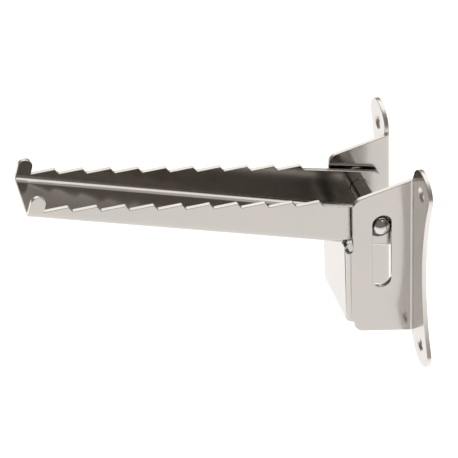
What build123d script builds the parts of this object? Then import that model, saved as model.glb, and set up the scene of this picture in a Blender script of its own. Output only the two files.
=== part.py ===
"""Fold-down hanger arm on a wall bracket, in bent stainless steel sheet.

Millimetres, +Z up. The wall is the plane Y = 0 and the arm reaches out along -Y.
The origin is the centre of the four screw holes, on the wall plane.

The bracket is one hat-section strip. The arm is one channel, open upwards, with
saw teeth along both walls. A domed rod joins them: it lies in an upright slot in
each side plate, so the arm can be tipped up to vertical and lowered behind the
front web of the bracket. Two retaining rings keep the rod in the arm.
"""

import os
from math import cos, radians, sin, tan

from build123d import *

# --- bracket ---
BRACKET_SHEET = 2.0
BRACKET_WIDTH = 37.0  # over the outsides of the side plates
BRACKET_DEPTH = 31.0  # wall to the face of the front web
BRACKET_BEND = 1.0  # inside radius of every bend
PLATE_HEIGHT = 78.0  # side plate, where it meets the flange
PLATE_SLOPE = 12.0  # degrees, upper and lower edges of the side plate
PLATE_CORNER = 5.0
WEB_BOTTOM = -28.5  # height of the front web's lower edge
RELIEF_RADIUS = 1.9  # round notch at each end of the web's upper edge

# --- flanges and their screw holes ---
HOLE_PITCH_X = 58.0
HOLE_PITCH_Z = 78.0
HOLE_DIAMETER = 5.0
COUNTERSINK_DIAMETER = 7.0
EAR_RADIUS = 10.3
EAR_OUTER_ROUND = 4.0
WAIST_HALF_WIDTH = 31.0
WAIST_RADIUS = 105.0  # hollow outer edge of the flange

# --- rod, and the slots that it rides in ---
ROD_DIAMETER = 8.0
ROD_PROUD = 1.8  # how far each end stands out of its side plate
ROD_DOME = 3.6  # height of the domed end
SLOT_CLEARANCE = 0.2  # each side of the rod
SLOT_TRAVEL = 28.4
SLOT_ABOVE_ROD = 1.8  # free height over the rod with the arm down
ROD_FROM_WALL = 15.4
ROD_HEIGHT = 18.2  # with the arm down
ARM_HOLE_CLEARANCE = 0.06  # radial, rod in the arm

# --- rings that keep the rod in the arm ---
RING_THICKNESS = 0.9
RING_WIDTH = 2.4  # radial width of the C
RING_GROOVE_DEPTH = 0.5
RING_END_PLAY = 0.2  # ring to arm wall
RING_PLATE_GAP = 0.3  # ring to side plate
RING_MOUTH = 5.6

# --- arm ---
ARM_SHEET = 2.0
ARM_BEND = 2.0  # inside radius of both bends
ARM_RISE = 17.9  # degrees, slope of the underside with the arm down
FOLD_CLEARANCE = 1.0  # underside to the front web, with the arm upright
REAR_BEHIND_ROD = 8.8
REAR_WALL_ABOVE_ROD = 8.3
REAR_CORNER = 4.0
TOOTH_COUNT = 10
TOOTH_PITCH = 11.7
TOOTH_HEIGHT = 2.1
TOOTH_STEEP_RUN = 2.2  # steep flank, measured along the arm
FIRST_ROOT = 27.3  # rod to the foot of the steep flank nearest the wall
FIRST_ROOT_BELOW_REAR = 2.5  # that foot, below the wall's height at the rear
TIP_WALL_HEIGHT = 4.4  # height of the tooth line above the underside, at the tab
TAB_WIDTH = 6.2
TAB_HEIGHT = 6.4  # above the tooth line
TAB_ROUND = 0.49  # corner radius as a share of the tab's width, nearly a half circle
TIP_CORNER = 1.2
REST_CLEARANCE = 0.05  # underside of the arm to the web edge that it rests on

# --- worked out from the above ---
HALF_WIDTH = BRACKET_WIDTH / 2
BEND_OUTSIDE = BRACKET_BEND + BRACKET_SHEET
PLATE_TOP = PLATE_HEIGHT / 2
PLATE_START = BEND_OUTSIDE  # distance from the wall to the flat of the side plate
PLATE_FRONT = BRACKET_DEPTH - BEND_OUTSIDE
WEB_INSIDE = BRACKET_DEPTH - BRACKET_SHEET
HOLE_X = HOLE_PITCH_X / 2
HOLE_Z = HOLE_PITCH_Z / 2

ROD_RADIUS = ROD_DIAMETER / 2
SLOT_WIDTH = ROD_DIAMETER + 2 * SLOT_CLEARANCE
SLOT_HEIGHT = SLOT_WIDTH + SLOT_TRAVEL
SLOT_MIDDLE = ROD_HEIGHT + SLOT_ABOVE_ROD - SLOT_TRAVEL / 2

ARM_SIDE_GAP = RING_END_PLAY + RING_THICKNESS + RING_PLATE_GAP
ARM_HALF_WIDTH = HALF_WIDTH - BRACKET_SHEET - ARM_SIDE_GAP
ROD_ABOVE_UNDERSIDE = WEB_INSIDE - ROD_FROM_WALL - FOLD_CLEARANCE
REAR_WALL_HEIGHT = ROD_ABOVE_UNDERSIDE + REAR_WALL_ABOVE_ROD
FIRST_ROOT_HEIGHT = REAR_WALL_HEIGHT - FIRST_ROOT_BELOW_REAR
TOOTH_LINE_TAPER = (FIRST_ROOT_HEIGHT - TIP_WALL_HEIGHT) / (TOOTH_COUNT * TOOTH_PITCH)
ARM_TIP = FIRST_ROOT + TOOTH_COUNT * TOOTH_PITCH + TAB_WIDTH
RISE = radians(ARM_RISE)
WEB_TOP = (
    ROD_HEIGHT
    - ROD_ABOVE_UNDERSIDE / cos(RISE)
    + (WEB_INSIDE - ROD_FROM_WALL) * tan(RISE)
    - REST_CLEARANCE
)
ROD_AT = Pos(0, -ROD_FROM_WALL, ROD_HEIGHT)


def corners(face, *places):
    """The corners of a flat face that lie at the given places, on either side of x = 0."""
    found = []
    for x, y in places:
        found += [v for v in face.vertices() if abs(abs(v.X) - x) < 0.01 and abs(v.Y - y) < 0.01]
    return found


def hat_section():
    """The bracket's strip in plan: flange, side plate, front web, side plate, flange."""
    flange_end = HOLE_X + EAR_RADIUS + 1
    inner = HALF_WIDTH - BRACKET_SHEET
    half = [
        (flange_end, 0),
        (flange_end, -BRACKET_SHEET),
        (HALF_WIDTH, -BRACKET_SHEET),
        (HALF_WIDTH, -BRACKET_DEPTH),
    ]
    back = [(-inner, 0), (-inner, -WEB_INSIDE), (inner, -WEB_INSIDE), (inner, 0)]
    outline = half + [(-x, y) for x, y in reversed(half)] + back
    face = make_face(Polyline(*outline, close=True))
    outside = [(HALF_WIDTH, -BRACKET_DEPTH), (inner, 0)]
    inside = [(HALF_WIDTH, -BRACKET_SHEET), (inner, -WEB_INSIDE)]
    face = fillet(corners(face, *outside), BEND_OUTSIDE)
    return fillet(corners(face, *inside), BRACKET_BEND)


def side_outline():
    """Side view of the plates and the web, drawn with the wall at x = 0."""
    front_top = PLATE_TOP - (PLATE_FRONT - PLATE_START) * tan(radians(PLATE_SLOPE))
    upper = [(0, PLATE_TOP), (-PLATE_START, PLATE_TOP), (-PLATE_FRONT, front_top)]
    lower = [(x, -y) for x, y in reversed(upper)]
    plate = make_face(Polyline(*upper, *lower, close=True))
    plate = fillet(corners(plate, (PLATE_FRONT, front_top), (PLATE_FRONT, -front_top)), PLATE_CORNER)
    web_middle = Pos(-BRACKET_DEPTH + BEND_OUTSIDE / 2, (WEB_TOP + WEB_BOTTOM) / 2)
    web = web_middle * Rectangle(BEND_OUTSIDE, WEB_TOP - WEB_BOTTOM)
    return plate + web


def flange_outline():
    """Front view of both flanges: round ears, with a hollow outer edge between them."""
    bend_line = HALF_WIDTH + BRACKET_BEND
    edges = Line((bend_line, PLATE_TOP), (bend_line, -PLATE_TOP)).edges()
    for level in (-HOLE_Z, HOLE_Z):
        edges += (Pos(HOLE_X, level) * Circle(EAR_RADIUS)).edges()
    face = make_hull(edges)
    face -= Pos(WAIST_HALF_WIDTH + WAIST_RADIUS, 0) * Circle(WAIST_RADIUS)
    outer = [v for v in face.vertices() if v.X > HOLE_X + 0.8 * EAR_RADIUS]
    face = fillet(outer, EAR_OUTER_ROUND)
    middle = Rectangle(2 * bend_line, PLATE_HEIGHT)
    return face + middle + mirror(face, about=Plane.YZ)


def screw_hole():
    """Through hole with a cone sunk from the room side."""
    cone_depth = (COUNTERSINK_DIAMETER - HOLE_DIAMETER) / 2
    cone = Cone(HOLE_DIAMETER / 2, COUNTERSINK_DIAMETER / 2, cone_depth)
    cone = Pos(0, 0, BRACKET_SHEET - cone_depth / 2) * cone
    return Rot(90, 0, 0) * (Cylinder(HOLE_DIAMETER / 2, 3 * BRACKET_SHEET) + cone)


def relief_notch(side):
    """Round notch through a front bend, where the web's upper edge meets the plate."""
    bend_middle = BEND_OUTSIDE * (1 - cos(radians(45)))
    place = Pos(side * (HALF_WIDTH - bend_middle), -BRACKET_DEPTH + bend_middle, WEB_TOP)
    return place * Rot(0, 0, side * 45) * Rot(90, 0, 0) * Cylinder(RELIEF_RADIUS, 3 * BEND_OUTSIDE)


def wall_bracket():
    strip = extrude(hat_section(), PLATE_HEIGHT, both=True)
    plates = extrude(Plane.YZ * side_outline(), HALF_WIDTH, both=True)
    flanges = extrude(Plane.XZ * flange_outline(), PLATE_START)
    body = strip & (plates + flanges)
    slot = Plane.YZ * Pos(-ROD_FROM_WALL, SLOT_MIDDLE) * SlotOverall(SLOT_HEIGHT, SLOT_WIDTH, 90)
    body -= extrude(slot, BRACKET_WIDTH, both=True)
    for side in (-1, 1):
        body -= relief_notch(side)
        for level in (-1, 1):
            body -= Pos(side * HOLE_X, 0, level * HOLE_Z) * screw_hole()
    return body


def arm_section():
    """The channel's section, open upwards, tall enough for the highest tooth."""
    inner = ARM_HALF_WIDTH - ARM_SHEET
    top = 2 * REAR_WALL_HEIGHT
    half = [(inner, ARM_SHEET), (inner, top), (ARM_HALF_WIDTH, top), (ARM_HALF_WIDTH, 0)]
    outline = half + [(-x, y) for x, y in reversed(half)]
    face = make_face(Polyline(*outline, close=True))
    face = fillet(corners(face, (ARM_HALF_WIDTH, 0)), ARM_BEND + ARM_SHEET)
    return fillet(corners(face, (inner, ARM_SHEET)), ARM_BEND)


def arm_outline():
    """Side view of the arm, with the rod above x = 0, the tip at +x and the underside at 0."""

    def tooth_line(x):
        return FIRST_ROOT_HEIGHT - TOOTH_LINE_TAPER * (x - FIRST_ROOT)

    edge = [(-REAR_BEHIND_ROD, 0), (-REAR_BEHIND_ROD, REAR_WALL_HEIGHT)]
    for tooth in range(TOOTH_COUNT):
        root = FIRST_ROOT + tooth * TOOTH_PITCH
        peak = root + TOOTH_STEEP_RUN
        edge += [(root, tooth_line(root)), (peak, tooth_line(peak) + TOOTH_HEIGHT)]
    tab_foot = FIRST_ROOT + TOOTH_COUNT * TOOTH_PITCH
    tab_top = tooth_line(tab_foot) + TAB_HEIGHT
    edge += [(tab_foot, tooth_line(tab_foot)), (tab_foot, tab_top), (ARM_TIP, tab_top), (ARM_TIP, 0)]
    face = make_face(Polyline(*edge, close=True))
    rear = [(REAR_BEHIND_ROD, 0), (REAR_BEHIND_ROD, REAR_WALL_HEIGHT)]
    face = fillet(corners(face, (tab_foot, tab_top), (ARM_TIP, tab_top)), TAB_ROUND * TAB_WIDTH)
    face = fillet(corners(face, *rear), REAR_CORNER)
    return fillet(corners(face, (ARM_TIP, 0)), TIP_CORNER)


def hanger_arm():
    length = ARM_TIP + REAR_BEHIND_ROD
    channel = Pos(0, REAR_BEHIND_ROD, 0) * extrude(Plane.XZ * arm_section(), length)
    side_view = Plane((0, 0, 0), x_dir=(0, -1, 0), z_dir=(-1, 0, 0)) * arm_outline()
    body = channel & extrude(side_view, ARM_HALF_WIDTH, both=True)
    hole = Rot(0, 90, 0) * Cylinder(ROD_RADIUS + ARM_HOLE_CLEARANCE, BRACKET_WIDTH)
    body -= Pos(0, 0, ROD_ABOVE_UNDERSIDE) * hole
    return ROD_AT * Rot(-ARM_RISE, 0, 0) * Pos(0, 0, -ROD_ABOVE_UNDERSIDE) * body


def ring_start():
    """Distance from the middle to the near face of each retaining ring."""
    return ARM_HALF_WIDTH + RING_END_PLAY


def pivot_rod():
    """Rod along x with a domed end each side and a groove for each ring."""
    reach = HALF_WIDTH + ROD_PROUD
    flat = reach - ROD_DOME
    half = make_face(
        [
            Line((0, 0), (0, reach)),
            ThreePointArc((0, reach), *dome_points(reach)),
            Line((ROD_RADIUS, flat), (ROD_RADIUS, 0)),
            Line((ROD_RADIUS, 0), (0, 0)),
        ]
    )
    groove = ROD_RADIUS - RING_GROOVE_DEPTH / 2
    groove_at = Pos(groove + 0.5, ring_start() + RING_THICKNESS / 2)
    half -= groove_at * Rectangle(RING_GROOVE_DEPTH + 1, RING_THICKNESS)
    solid = revolve(half, Axis.Y)
    solid = solid + mirror(solid, about=Plane.XZ)
    return ROD_AT * Rot(0, 0, -90) * solid


def dome_points(reach):
    """A middle point and the end of the dome's arc from the rod's axis to its rim."""
    sphere = (ROD_RADIUS**2 + ROD_DOME**2) / (2 * ROD_DOME)
    middle = ROD_RADIUS / 2
    fall = sphere - (sphere**2 - middle**2) ** 0.5
    return (middle, reach - fall), (ROD_RADIUS, reach - ROD_DOME)


def retaining_ring(side):
    """Flat C that snaps into the rod's groove, its mouth towards the wall."""
    inner = ROD_RADIUS - RING_GROOVE_DEPTH
    face = Circle(inner + RING_WIDTH) - Circle(inner)
    face -= Pos(inner + RING_WIDTH / 2, 0) * Rectangle(RING_WIDTH * 2, RING_MOUTH)
    ring = Plane.YZ * face
    ring = extrude(ring, RING_THICKNESS)
    start = ring_start() if side > 0 else -ring_start() - RING_THICKNESS
    return ROD_AT * Pos(start, 0, 0) * ring


def main():
    os.makedirs("parts", exist_ok=True)
    nodes = {
        "wall_bracket": wall_bracket(),
        "hanger_arm": hanger_arm(),
        "pivot_rod": pivot_rod(),
        "retaining_ring_left": retaining_ring(-1),
        "retaining_ring_right": retaining_ring(1),
    }
    for name, shape in nodes.items():
        export_step(shape, f"parts/{name}.step")


main()
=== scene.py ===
"""Looks of the fold-down hanger arm: mirror-polished stainless sheet, a turned rod, spring-steel rings.

Metres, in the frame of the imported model: the wall is Y = 0, the arm reaches out along -Y, +Z is up.
"""

import bmesh
import bpy
import numpy as np
from mathutils import Matrix, Vector


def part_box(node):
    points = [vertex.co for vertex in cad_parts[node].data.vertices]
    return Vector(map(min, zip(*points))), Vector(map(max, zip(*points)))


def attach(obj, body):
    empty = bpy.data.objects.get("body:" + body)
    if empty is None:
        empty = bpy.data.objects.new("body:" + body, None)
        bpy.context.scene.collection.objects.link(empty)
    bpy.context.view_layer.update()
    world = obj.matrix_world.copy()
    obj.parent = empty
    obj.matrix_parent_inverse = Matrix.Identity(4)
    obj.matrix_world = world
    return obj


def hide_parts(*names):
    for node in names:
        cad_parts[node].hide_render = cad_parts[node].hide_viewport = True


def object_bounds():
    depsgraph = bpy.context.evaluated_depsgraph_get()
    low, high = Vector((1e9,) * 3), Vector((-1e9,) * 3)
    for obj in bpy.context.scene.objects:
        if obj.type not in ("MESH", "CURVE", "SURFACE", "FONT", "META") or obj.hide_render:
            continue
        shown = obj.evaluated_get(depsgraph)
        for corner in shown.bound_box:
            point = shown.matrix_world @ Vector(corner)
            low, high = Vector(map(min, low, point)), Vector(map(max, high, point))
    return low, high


MM = 0.001

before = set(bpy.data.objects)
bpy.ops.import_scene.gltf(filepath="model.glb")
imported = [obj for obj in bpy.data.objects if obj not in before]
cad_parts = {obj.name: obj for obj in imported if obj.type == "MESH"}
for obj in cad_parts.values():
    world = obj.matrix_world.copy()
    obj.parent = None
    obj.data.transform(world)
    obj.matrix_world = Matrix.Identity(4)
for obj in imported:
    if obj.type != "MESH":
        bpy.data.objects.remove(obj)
cad_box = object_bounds()

# --- edge finish of the sheet ---
DEBURR = 0.25 * MM  # rounding left on each cut edge by tumbling
EDGE_STEPS = 4
SHARP_EDGE = np.radians(30)

FLAT_JOIN = np.radians(0.05)  # faces nearer to one plane than this are joined again
WELD = 0.001 * MM
FLAT_WEIGHT = 50  # how far the broad faces rule the shading at their edges

# --- where the cut faces of the two sheets lie ---
TILTED = 0.01  # smallest share of a normal that counts as looking that way
FLANGE_FRONT = -2.01 * MM  # just past the front face of the flanges
EAR_SIDE = 22 * MM  # the flanges' outer edges lie beyond this
ARM_RISE = np.radians(17.9)
WALL_INSIDE = 13.0 * MM  # half the width between the arm's walls
BEND_HEIGHT = 6.0 * MM  # above the arm's underside, clear of its bends

# --- the turned rod ---
ROD_DOME = 3.6 * MM  # height of each domed end
ROD_GROOVE = 0.5 * MM  # depth of each ring groove
ROD_SIDES = 96
DOME_RINGS = 16

# --- polish ---
CLOUD_SIZE = 18 * MM  # patches where the wheel dwelt
CLOUD_SPAN = (0.3, 0.7)  # noise values that give the least and the most haze
WAVE_SIZE = 30 * MM  # slow waviness of the rolled sheet
LINE_HAZE = 0.05  # roughness that the polishing lines add
LINE_BUMP = 0.15
LINE_DEPTH = 0.004 * MM

# --- camera ---
CAMERA_AT = Vector((756.58, -252.40, 574.57)) * MM
CAMERA_RIGHT = Vector((0.25581827, 0.96577681, -0.0428037))
CAMERA_UP = Vector((-0.55421211, 0.18279235, 0.81205658))
CAMERA_BACK = Vector((0.79208961, -0.18401658, 0.58200683))
SENSOR = 36.0
LENS = 179.36

# --- studio ---
PANEL_SIDE = (-0.6, 0.8, 0.0)  # the way that the soft panel lies, seen from above
PANEL_HEIGHT = (0.42, 0.52)  # sine of the elevation where its lower edge fades in
PANEL_REACH = (-0.02, 0.12)  # and the same along PANEL_SIDE
PANEL_LIGHT = (1.5, 1.48, 1.44, 1.0)
ROOM_DARK = (0.24, 0.21, 0.185, 1.0)
FLOOR_DROP = 0.30  # floor below the lowest point of the object
FLOOR_HALF = 6.0
FLOOR_LIGHT_AT = Vector((-0.6, -0.3, 2.0))
FLOOR_LIGHT_AIM = Vector((-0.2, -0.1, 0))
FLOOR_LIGHT_SIZE = 2.5
FLOOR_LIGHT_POWER = 54


def linear(hex_colour):
    """sRGB hex to linear RGBA: the low part is a straight line, the rest a power of 2.4."""
    value = np.array([int(hex_colour[i : i + 2], 16) for i in (1, 3, 5)]) / 255
    value = np.where(value <= 0.04045, value / 12.92, ((value + 0.055) / 1.055) ** 2.4)
    return (*value.tolist(), 1.0)


# ---------------------------------------------------------------- materials


def new_material(name):
    """An empty node material and its tree, with the surface shader already linked to the output."""
    material = bpy.data.materials.new(name)
    material.use_nodes = True
    tree = material.node_tree
    tree.nodes.clear()
    out = tree.nodes.new("ShaderNodeOutputMaterial")
    shader = tree.nodes.new("ShaderNodeBsdfPrincipled")
    tree.links.new(shader.outputs["BSDF"], out.inputs["Surface"])
    return material, tree, shader


def add(tree, kind, inputs=None, **settings):
    """One node: its settings, then each input as a value or as a link from another node's output."""
    node = tree.nodes.new(kind)
    for name, value in settings.items():
        setattr(node, name, value)
    for name, value in (inputs or {}).items():
        if isinstance(value, bpy.types.NodeSocket):
            tree.links.new(value, node.inputs[name])
        else:
            node.inputs[name].default_value = value
    return node


def polished_metal(name, colours, haze, line_spacing, line_length, waviness):
    """Polished metal: a mirror with a faint cloudy haze, fine polishing lines and a slow waviness.

    The colour drifts between two near tints with the same clouds as the haze.
    """
    material, tree, shader = new_material(name)
    shader.inputs["Metallic"].default_value = 1.0
    place = add(tree, "ShaderNodeTexCoord").outputs["Object"]
    lines = add(
        tree,
        "ShaderNodeMapping",
        {"Vector": place, "Scale": (1 / line_spacing, 1 / line_length, 1 / line_spacing)},
    ).outputs[0]
    scratches = add(
        tree, "ShaderNodeTexNoise", {"Vector": lines, "Scale": 1.0, "Detail": 2.0}
    ).outputs["Fac"]
    clouds = add(
        tree, "ShaderNodeTexNoise", {"Vector": place, "Scale": 1 / CLOUD_SIZE, "Detail": 3.0}
    ).outputs["Fac"]
    tint = add(
        tree,
        "ShaderNodeMix",
        {0: clouds, 6: linear(colours[0]), 7: linear(colours[1])},
        data_type="RGBA",
    ).outputs[2]
    tree.links.new(tint, shader.inputs["Base Color"])
    cloudy = add(
        tree,
        "ShaderNodeMapRange",
        {
            "Value": clouds,
            "From Min": CLOUD_SPAN[0],
            "From Max": CLOUD_SPAN[1],
            "To Min": haze[0],
            "To Max": haze[1],
        },
    ).outputs[0]
    rough = add(
        tree, "ShaderNodeMath", {0: scratches, 1: LINE_HAZE, 2: cloudy}, operation="MULTIPLY_ADD"
    ).outputs[0]
    tree.links.new(rough, shader.inputs["Roughness"])
    waves = add(
        tree, "ShaderNodeTexNoise", {"Vector": place, "Scale": 1 / WAVE_SIZE, "Detail": 1.0}
    ).outputs["Fac"]
    slow = add(
        tree, "ShaderNodeBump", {"Height": waves, "Strength": 1.0, "Distance": waviness}
    ).outputs[0]
    fine = add(
        tree,
        "ShaderNodeBump",
        {
            "Height": scratches,
            "Strength": LINE_BUMP,
            "Distance": LINE_DEPTH,
            "Normal": slow,
        },
    ).outputs[0]
    tree.links.new(fine, shader.inputs["Normal"])
    return material


def white_floor():
    """Matt white, so the polished faces mirror an even light from below."""
    material, tree, shader = new_material("matt_white_studio_floor")
    shader.inputs["Base Color"].default_value = linear("#FFFFFF")
    shader.inputs["Roughness"].default_value = 0.9
    shader.inputs["Specular IOR Level"].default_value = 0.1
    return material


# Bright-polished sheet mirrors the room almost sharply, with clouds where the wheel dwelt.
SHEET_POLISH = polished_metal(
    "stainless_sheet_mirror_polished",
    ("#BFBAB4", "#B9B7B5"),
    haze=(0.10, 0.17),
    line_spacing=0.35 * MM,
    line_length=14 * MM,
    waviness=0.10 * MM,
)
# Tumbled cut edges scatter the light into a soft pale line. Their tint is also painted lighter than the
# sheet's as a painted highlight, so they read against the mirror.
CUT_EDGE_PAINTED_HIGHLIGHT = polished_metal(
    "stainless_sheet_cut_edge_tumbled_painted_highlight",
    ("#D8D4CF", "#D4D2CF"),
    haze=(0.22, 0.34),
    line_spacing=0.25 * MM,
    line_length=2 * MM,
    waviness=0.0,
)
# The turned rod is a mirror too; its dome gathers the whole room into a small image.
ROD_POLISH = polished_metal(
    "stainless_rod_turned_polished",
    ("#CFCBC7", "#CDCBC9"),
    haze=(0.06, 0.12),
    line_spacing=0.30 * MM,
    line_length=0.30 * MM,
    waviness=0.02 * MM,
)
# Oil-blued spring steel stays dark and dull in the gap beside the arm.
SPRING_STEEL = polished_metal(
    "spring_steel_blued",
    ("#5C5750", "#565350"),
    haze=(0.25, 0.38),
    line_spacing=0.3 * MM,
    line_length=3 * MM,
    waviness=0.0,
)


# ---------------------------------------------------------------- pieces


def finished_sheet(node, body, name, rounding, is_cut):
    """A CAD sheet part with its cut edges rounded, broad faces polished, and cut faces tumbled and
    painted a lighter tint as a painted highlight.

    The copy is merged, its flat faces are joined again, and is_cut says from each face's
    middle and normal whether it is a cut face.
    """
    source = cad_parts[node]
    mesh = bpy.data.meshes.new(name)
    work = bmesh.new()
    work.from_mesh(source.data)
    bmesh.ops.remove_doubles(work, verts=work.verts, dist=WELD)
    bmesh.ops.dissolve_limit(work, angle_limit=FLAT_JOIN, verts=work.verts, edges=work.edges)
    for face in work.faces:
        face.smooth = True
    work.to_mesh(mesh)
    work.free()
    mesh.materials.append(SHEET_POLISH)
    mesh.materials.append(CUT_EDGE_PAINTED_HIGHLIGHT)
    count = len(mesh.polygons)
    middle = np.empty(count * 3, np.float32)
    normal = np.empty(count * 3, np.float32)
    mesh.polygons.foreach_get("center", middle)
    mesh.polygons.foreach_get("normal", normal)
    cut = is_cut(middle.reshape(-1, 3), normal.reshape(-1, 3))
    # The cut faces take the tumbled material, whose lighter tint is a painted highlight.
    mesh.polygons.foreach_set("material_index", cut.astype(np.int32))
    piece = bpy.data.objects.new(name, mesh)
    bpy.context.scene.collection.objects.link(piece)
    edge = piece.modifiers.new("deburred_edges", "BEVEL")
    edge.width = rounding
    edge.segments = EDGE_STEPS
    edge.limit_method = "ANGLE"
    edge.angle_limit = SHARP_EDGE
    edge.use_clamp_overlap = False
    smooth = piece.modifiers.new("flat_faces_stay_flat", "WEIGHTED_NORMAL")
    smooth.mode = "FACE_AREA"
    smooth.weight = FLAT_WEIGHT
    smooth.keep_sharp = False
    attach(piece, body)
    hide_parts(node)
    return piece


def bracket_cut(middle, normal):
    """The bracket is bent about upright lines only, so a broad face never looks up or down."""
    flange = (np.abs(normal[:, 0]) > 0.5) & (middle[:, 1] > FLANGE_FRONT)
    outer = flange & (np.abs(middle[:, 0]) > EAR_SIDE)
    return (np.abs(normal[:, 2]) > TILTED) | outer


def arm_cut(middle, normal):
    """The arm is bent about lines along its length, so only a cut face looks along it.

    The one cut face that doesn't is the flat top of each wall behind the teeth, which looks
    square to the underside and lies out in the wall and above the bends.
    """
    along = np.array((0, -np.cos(ARM_RISE), np.sin(ARM_RISE)))
    square = np.array((0, np.sin(ARM_RISE), np.cos(ARM_RISE)))
    height = middle @ square
    top = (normal @ square > 0.99) & (height > height.min() + BEND_HEIGHT)
    return (np.abs(normal @ along) > TILTED) | (top & (np.abs(middle[:, 0]) > WALL_INSIDE))


def turned_rod():
    """The rod as a surface of revolution about x, with a sphere cap at each end.

    On the cap of sphere radius R = (r^2 + h^2) / 2h, at angle t from the axis, the distance
    from the middle is reach - R (1 - cos t) and the radius is R sin t. The barrel is straight
    between the caps except for the two ring grooves.
    """
    low, high = (np.array(corner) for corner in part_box("pivot_rod"))
    ring_low, ring_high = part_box("retaining_ring_right")
    centre = (low + high) / 2
    radius = (high[2] - low[2]) / 2
    reach = (high[0] - low[0]) / 2
    sphere = (radius**2 + ROD_DOME**2) / (2 * ROD_DOME)
    angle = np.linspace(0, np.arcsin(radius / sphere), DOME_RINGS + 1)[1:]
    distance = reach - sphere * (1 - np.cos(angle))
    bore = radius - ROD_GROOVE
    half = list(zip(distance, sphere * np.sin(angle)))
    half += [(ring_high[0], radius), (ring_high[0], bore)]
    half += [(ring_low[0], bore), (ring_low[0], radius)]
    profile = np.array(half + [(-x, r) for x, r in reversed(half)])
    turn = np.linspace(0, 2 * np.pi, ROD_SIDES, endpoint=False)
    rings = len(profile)
    points = np.zeros((rings, ROD_SIDES, 3))
    points[..., 0] = profile[:, :1]
    points[..., 1] = profile[:, 1:] * np.cos(turn)
    points[..., 2] = profile[:, 1:] * np.sin(turn)
    ends = [(reach, 0, 0), (-reach, 0, 0)]
    points = np.concatenate((points.reshape(-1, 3), ends)) + centre
    faces = []
    for side in range(ROD_SIDES):
        after = (side + 1) % ROD_SIDES
        for ring in range(rings - 1):
            here, there = ring * ROD_SIDES, (ring + 1) * ROD_SIDES
            faces.append((here + side, here + after, there + after, there + side))
        last, tip = (rings - 1) * ROD_SIDES, rings * ROD_SIDES
        faces.append((tip, after, side))
        faces.append((last + side, last + after, tip + 1))
    mesh = bpy.data.meshes.new("turned_rod")
    mesh.from_pydata(points.tolist(), [], faces)
    work = bmesh.new()
    work.from_mesh(mesh)
    bmesh.ops.recalc_face_normals(work, faces=work.faces)
    for face in work.faces:
        face.smooth = True
    work.to_mesh(mesh)
    work.free()
    mesh.set_sharp_from_angle(angle=SHARP_EDGE)
    mesh.materials.append(ROD_POLISH)
    rod = bpy.data.objects.new("turned_rod", mesh)
    bpy.context.scene.collection.objects.link(rod)
    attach(rod, "rod")
    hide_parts("pivot_rod")


finished_sheet(
    "wall_bracket", "bracket", "bracket_sheet", DEBURR, bracket_cut
)
finished_sheet("hanger_arm", "arm", "arm_sheet", DEBURR, arm_cut)
turned_rod()
for ring_node in ("retaining_ring_left", "retaining_ring_right"):
    ring_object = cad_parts[ring_node]
    ring_object.data.materials[0] = SPRING_STEEL


# ---------------------------------------------------------------- studio


def studio_world():
    """Light that depends only on direction: dark walls, and one broad soft panel above and behind."""
    world = bpy.data.worlds.new("studio_light")
    bpy.context.scene.world = world
    world.use_nodes = True
    tree = world.node_tree
    tree.nodes.clear()
    out = add(tree, "ShaderNodeOutputWorld")
    ray = add(tree, "ShaderNodeTexCoord").outputs["Generated"]
    height = add(tree, "ShaderNodeSeparateXYZ", {0: ray}).outputs["Z"]
    behind = add(
        tree, "ShaderNodeVectorMath", {0: ray, 1: PANEL_SIDE}, operation="DOT_PRODUCT"
    ).outputs["Value"]
    level = None
    for value, (start, stop) in ((height, PANEL_HEIGHT), (behind, PANEL_REACH)):
        ramp = add(
            tree,
            "ShaderNodeMapRange",
            {"Value": value, "From Min": start, "From Max": stop},
            interpolation_type="SMOOTHSTEP",
        ).outputs[0]
        if level is None:
            level = ramp
        else:
            level = add(tree, "ShaderNodeMath", {0: level, 1: ramp}, operation="MULTIPLY").outputs[0]
    light = add(
        tree, "ShaderNodeMix", {0: level, 6: ROOM_DARK, 7: PANEL_LIGHT}, data_type="RGBA"
    ).outputs[2]
    lit = add(tree, "ShaderNodeBackground", {"Color": light}).outputs[0]
    plain = add(tree, "ShaderNodeBackground", {"Color": linear("#FFFFFF")}).outputs[0]
    seen = add(tree, "ShaderNodeLightPath").outputs["Is Camera Ray"]
    mix = add(tree, "ShaderNodeMixShader", {"Fac": seen, 1: lit, 2: plain}).outputs[0]
    tree.links.new(mix, out.inputs["Surface"])


def studio_floor():
    """One large white square below the object, part of the stage and not of the piece."""
    low, high = cad_box
    level = low[2] - FLOOR_DROP
    mesh = bpy.data.meshes.new("studio_floor")
    half = FLOOR_HALF
    mesh.from_pydata(
        [(-half, -half, level), (half, -half, level), (half, half, level), (-half, half, level)],
        [],
        [(0, 1, 2, 3)],
    )
    floor = bpy.data.objects.new("studio_floor", mesh)
    floor.data.materials.append(white_floor())
    bpy.context.scene.collection.objects.link(floor)


def floor_light():
    """A square soft box that lights the floor. The polished metal doesn't mirror it."""
    light = bpy.data.lights.new("floor_light", "AREA")
    light.shape = "RECTANGLE"
    light.size = light.size_y = FLOOR_LIGHT_SIZE
    light.energy = FLOOR_LIGHT_POWER
    lamp = bpy.data.objects.new("floor_light", light)
    lamp.location = FLOOR_LIGHT_AT
    lamp.rotation_euler = (FLOOR_LIGHT_AIM - FLOOR_LIGHT_AT).to_track_quat("-Z", "Y").to_euler()
    lamp.visible_glossy = False
    bpy.context.scene.collection.objects.link(lamp)


def studio_camera():
    """A long lens from the right and above, with its axes given as unit vectors."""
    data = bpy.data.cameras.new("camera")
    data.sensor_width = SENSOR
    data.lens = LENS
    data.clip_start = 0.01
    data.clip_end = 50
    camera = bpy.data.objects.new("camera", data)
    axes = Matrix((CAMERA_RIGHT, CAMERA_UP, CAMERA_BACK)).transposed()
    camera.matrix_world = Matrix.Translation(CAMERA_AT) @ axes.to_4x4()
    bpy.context.scene.collection.objects.link(camera)
    bpy.context.scene.camera = camera


studio_world()
studio_floor()
floor_light()
studio_camera()
bpy.context.scene.view_settings.view_transform = "Standard"
